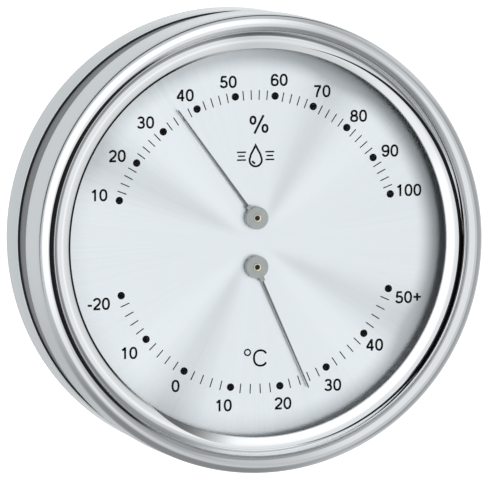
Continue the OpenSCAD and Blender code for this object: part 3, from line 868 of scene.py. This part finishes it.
def lettering(shape, words, x, y, height, pen=PEN):
    """Printed characters centred on x, y; words is a string or a list of characters."""
    lines, cursor = [], 0.0
    for letter in words:
        lines += [[(cursor + px, py) for px, py in line] for line in CHARACTERS[letter]]
        cursor += NARROW.get(letter, 0.78)
    across = [px for line in lines for px, py in line]
    middle = (min(across) + max(across)) / 2
    placed = [[(x + (px - middle) * height, y + (py - 0.5) * height) for px, py in line]
              for line in lines]
    mesh = strokes(placed, pen * height)
    shape.from_mesh(mesh)
    bpy.data.meshes.remove(mesh)


HUMIDITY_LABELS = {
    "10": (-34.97, 11.0), "20": (-31.0, 19.43), "30": (-24.6, 26.55), "40": (-15.8, 32.25),
    "50": (-6.07, 34.95), "60": (5.4, 35.15), "70": (15.0, 32.5), "80": (23.3, 26.95),
    "90": (30.4, 19.2), "100": (34.7, 10.5)}
TEMPERATURE_LABELS = (
    ("-20", -35.2, -12.6), ("10", -28.3, -23.45), ("0", -17.92, -30.91), ("10", -7.1, -35.45),
    ("20", 6.2, -35.35), ("30", 17.5, -31.65), ("40", 26.9, -23.15), ("50+", 34.65, -12.9))


class INSTRUMENT_OT_humidity_scale(bpy.types.Operator):
    """Print the humidity scale's dots, bars, numbers and percent sign"""
    bl_idname = "instrument.humidity_scale"
    bl_label = "Humidity scale"

    def execute(self, context):
        marks = bmesh.new()
        scale_marks(marks, math.radians(162.27), math.radians(17.73), 10, 5)
        print_piece("humidity_marks", marks)
        numbers = bmesh.new()
        for words, (x, y) in HUMIDITY_LABELS.items():
            lettering(numbers, words, x, y, context.scene.dial.digit_height / MM)
        lettering(numbers, "%", 0.85, 25.6, 3.75, pen=0.13)
        print_piece("humidity_numbers", numbers)
        sign = bmesh.new()
        lettering(sign, ["drop"], 0.1, 18.76, 4.6, pen=0.095)
        for side in (-1, 1):
            for row, length in enumerate((2.0, 1.5, 2.0)):
                bar(sign, 0.1 + side * 3.2, 17.9 + 0.85 * row, length, 0.34, 0.0)
        print_piece("humidity_sign", sign)
        return {"FINISHED"}


class INSTRUMENT_OT_temperature_scale(bpy.types.Operator):
    """Print the temperature scale's dots, bars, numbers and degree sign"""
    bl_idname = "instrument.temperature_scale"
    bl_label = "Temperature scale"

    def execute(self, context):
        marks = bmesh.new()
        scale_marks(marks, math.radians(199.95), math.radians(340.05), 8, 5)
        print_piece("temperature_marks", marks)
        numbers = bmesh.new()
        for words, x, y in TEMPERATURE_LABELS:
            lettering(numbers, words, x, y, context.scene.dial.digit_height / MM)
        lettering(numbers, "C", 1.09, -25.33, 3.75, pen=0.12)
        lettering(numbers, "o", -1.73, -24.05, 1.62, pen=0.2)
        print_piece("temperature_numbers", numbers)
        return {"FINISHED"}


# ---- hands ----

def hand_angle(node, pivot):
    """The direction that a hand points in at rest, from the furthest point of its CAD node."""
    low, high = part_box(node)
    x = low.x if abs(low.x) > abs(high.x) else high.x
    z = low.z if abs(low.z - pivot * MM) > abs(high.z - pivot * MM) else high.z
    return math.atan2(z - pivot * MM, x)


def make_hand(quantity, pivot, length):
    body = quantity + "_hand"
    angle = hand_angle(quantity + "_pointer", pivot)
    front, rear = (-corner.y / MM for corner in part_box(quantity + "_pointer"))
    blade = bmesh.new()
    edge = [(1.0, 0.42), (2.5, 0.42), (3.3, 0.21), (length, 0.13)]
    outline = edge + [(x, -y) for x, y in reversed(edge)]
    verts = [blade.verts.new((x * MM, -rear * MM, y * MM)) for x, y in outline]
    face = blade.faces.new(verts)
    top = bmesh.ops.extrude_face_region(blade, geom=[face])["geom"]
    moved = [v for v in top if isinstance(v, bmesh.types.BMVert)]
    bmesh.ops.translate(blade, verts=moved, vec=(0, -(front - rear) * MM, 0))
    rim = [e for e in blade.edges if all(v in moved for v in e.verts)]
    bmesh.ops.bevel(
        blade, geom=rim, offset=0.08 * MM, offset_type="OFFSET", affect="EDGES", segments=2,
        profile=0.5, material=-1)
    turn = Matrix.Translation((0, 0, pivot * MM)) @ Matrix.Rotation(-angle, 4, "Y")
    bmesh.ops.transform(blade, matrix=turn, verts=blade.verts)
    place_piece(quantity + "_needle", body, "hand_steel",
                to_mesh("needle", blade, sharp=math.radians(30)), [quantity + "_pointer"])

    hub_front, hub_rear = (-corner.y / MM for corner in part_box(quantity + "_hub"))
    boss = turned(rounded([(0.86, hub_rear), (2.45, hub_rear), (2.45, hub_front),
                           (0.86, hub_front)], 0.14, 4), (0, pivot), 96)
    tab = bmesh.new()
    placing = turn @ Matrix.Translation((2.62 * MM, -(front + 0.2) * MM, 0))
    placing = placing @ Matrix.Diagonal((1.5 * MM, 0.4 * MM, 1.1 * MM, 1.0))
    bmesh.ops.create_cube(tab, size=1.0, matrix=placing)
    bmesh.ops.bevel(tab, geom=tab.edges[:], offset=0.1 * MM, affect="EDGES", segments=3,
                    profile=0.5, material=-1)
    join(boss, tab)
    place_piece(quantity + "_boss", body, "hub_grey", to_mesh("boss", boss),
                [quantity + "_hub"])
    ring = [(0.5, hub_rear), (0.84, hub_rear), (0.84, hub_front), (0.80, hub_front + 0.05),
            (0.64, hub_front + 0.05), (0.58, hub_front), (0.5, hub_front - 0.12)]
    place_piece(quantity + "_collar", body, "bush_brass",
                to_mesh("collar", turned(ring, (0, pivot), 64)), [quantity + "_hub_collet"])


class INSTRUMENT_OT_hands(bpy.types.Operator):
    """Cut both needles and turn their bosses and brass collets"""
    bl_idname = "instrument.hands"
    bl_label = "Hands"

    def execute(self, context):
        make_hand("humidity", HUMIDITY_PIVOT, 29.5)
        make_hand("temperature", TEMPERATURE_PIVOT, 29.1)
        return {"FINISHED"}


# ---- finishes for the CAD parts that stay ----

class INSTRUMENT_OT_movement(bpy.types.Operator):
    """Give each CAD part that stays the finish of its material slot"""
    bl_idname = "instrument.movement"
    bl_label = "Movement finishes"

    def execute(self, context):
        for part in frame["record"]["subparts"]:
            node = NODES[part["node"]]
            paint = SLOT_FINISHES[part["material_slot"]]
            node.data.materials.clear()
            node.data.materials.append(finish(paint.__name__, paint))
        return {"FINISHED"}


# ---- stage ----

def light_tent(sheet):
    """A pale tent with a bright front, a grey flag on the right and a soft shade below."""
    where = sheet.add("ShaderNodeTexCoord", output="Generated")
    x, y, z = sheet.axes(where)
    azimuth = sheet.add("ShaderNodeMath", {"operation": "ARCTAN2"}, [x, y * -1.0])
    height = z.math("ARCSINE")

    def lobe(turn, lift, inner, outer):
        turn, lift = math.radians(turn), math.radians(lift)
        middle = (math.sin(turn) * math.cos(lift), -math.cos(turn) * math.cos(lift), math.sin(lift))
        near = sheet.add("ShaderNodeVectorMath", {"operation": "DOT_PRODUCT"},
                         {0: where, 1: middle}, output="Value")
        return near.ramp(math.cos(math.radians(outer)), math.cos(math.radians(inner)))

    tent = settings().stage_light.tent
    low = height.ramp(-1.0, -0.5, 1.0, 0.0) * x.ramp(0.2, 0.6, 1.0, 0.0)
    brightness = lobe(8, -5, 28, 52) * 0.22 + lobe(115, 0, 45, 65) * 0.25 + tent
    brightness = brightness * (1 - low * 0.45)
    white = lobe(-22, 10, 36, 44).math("MAXIMUM", lobe(5, 34, 16, 26))
    brightness = brightness * (1 - white) + white * 1.2
    dark_line = (y - 0.05).absolute().ramp(0.08, 0.15, 1.0, 0.0)
    dark_line = dark_line * x.ramp(-0.1, 0.3, 1.0, 0.0) * z.ramp(-0.45, -0.2)
    flag = azimuth.ramp(0.62, 1.00) * azimuth.ramp(1.70, 2.15, 1.0, 0.0)
    flag = flag * (height + 0.2).absolute().ramp(0.50, 0.75, 1.0, 0.0) * 0.35
    strength = brightness * (1 - flag) * (1 - dark_line * 0.92)
    seen = sheet.add("ShaderNodeLightPath", output="Is Camera Ray")
    return sheet.add("ShaderNodeBackground", {}, {
        "Color": (0.975, 0.99, 1.0), "Strength": strength * (1 - seen) + seen})


class INSTRUMENT_OT_stage(bpy.types.Operator):
    """Set up the floor, the light tent and the camera"""
    bl_idname = "instrument.stage"
    bl_label = "Stage"

    def execute(self, context):
        scene = context.scene
        floor_shape = bmesh.new()
        bmesh.ops.create_grid(floor_shape, x_segments=1, y_segments=1, size=60.0)
        drop = -(BEZEL_R * MM + scene.stage_light.floor_drop)
        bmesh.ops.translate(floor_shape, verts=floor_shape.verts, vec=(0, 0, drop))
        floor = bpy.data.objects.new("floor", to_mesh("floor", floor_shape))
        scene.collection.objects.link(floor)
        floor.data.materials.append(finish("pale_floor", lambda sheet: principled(
            sheet, base_color=sheet.mix(sheet.noise(size=2.0), (0.9, 0.9, 0.9), (0.93, 0.93, 0.93)),
            roughness=0.9, emission_color=(1.0, 1.0, 1.0, 1.0), emission_strength=0.6)))
        floor.visible_glossy = False

        world = bpy.data.worlds.new("light_tent")
        world.use_nodes = True
        scene.world = world
        sheet = Sheet(world.node_tree)
        sheet.add("ShaderNodeOutputWorld", {}, {"Surface": light_tent(sheet)})

        lens = bpy.data.cameras.new("camera")
        lens.lens = 882.3
        lens.sensor_width = 36.0
        lens.clip_start = 0.1
        lens.clip_end = 300.0
        camera = bpy.data.objects.new("camera", lens)
        scene.collection.objects.link(camera)
        swing, lift, distance = math.radians(-15.429), math.radians(5.325), 2.6
        back = Vector((math.sin(swing) * math.cos(lift), -math.cos(swing) * math.cos(lift),
                       math.sin(lift)))
        right = Vector((math.cos(swing), math.sin(swing), 0.0))
        up = back.cross(right)
        target = Vector((0, -DIAL * MM, 0)) - right * 2.323 * MM + up * 0.432 * MM
        camera.rotation_mode = "QUATERNION"
        camera.rotation_quaternion = Matrix((right, up, back)).transposed().to_quaternion()
        camera.location = target + back * distance
        scene.camera = camera
        scene.view_settings.view_transform = "Standard"
        return {"FINISHED"}


class INSTRUMENT_PT_panel(bpy.types.Panel):
    """Lists the steps that build the instrument"""
    bl_idname = "INSTRUMENT_PT_panel"
    bl_label = "Thermo-hygrometer"
    bl_space_type = "VIEW_3D"
    bl_region_type = "UI"
    bl_category = "Instrument"

    def draw(self, context):
        for group in (context.scene.housing, context.scene.dial, context.scene.stage_light):
            box = self.layout.box()
            for name in group.__annotations__:
                box.prop(group, name)
        for step in STEPS:
            self.layout.operator(step.bl_idname)


STEPS = (
    INSTRUMENT_OT_movement, INSTRUMENT_OT_bezel, INSTRUMENT_OT_drum, INSTRUMENT_OT_wall_plate,
    INSTRUMENT_OT_window, INSTRUMENT_OT_spacer, INSTRUMENT_OT_humidity_scale,
    INSTRUMENT_OT_temperature_scale, INSTRUMENT_OT_hands, INSTRUMENT_OT_stage,
)
CLASSES = (HousingSettings, DialSettings, StageSettings, *STEPS, INSTRUMENT_PT_panel)


def register():
    for cls in CLASSES:
        bpy.utils.register_class(cls)
    bpy.types.Scene.housing = PointerProperty(type=HousingSettings)
    bpy.types.Scene.dial = PointerProperty(type=DialSettings)
    bpy.types.Scene.stage_light = PointerProperty(type=StageSettings)


def unregister():
    del bpy.types.Scene.stage_light
    del bpy.types.Scene.dial
    del bpy.types.Scene.housing
    for cls in reversed(CLASSES):
        bpy.utils.unregister_class(cls)


def main():
    register()
    for step in STEPS:
        group, name = step.bl_idname.split(".")
        getattr(getattr(bpy.ops, group), name)()


if __name__ == "__main__":
    main()
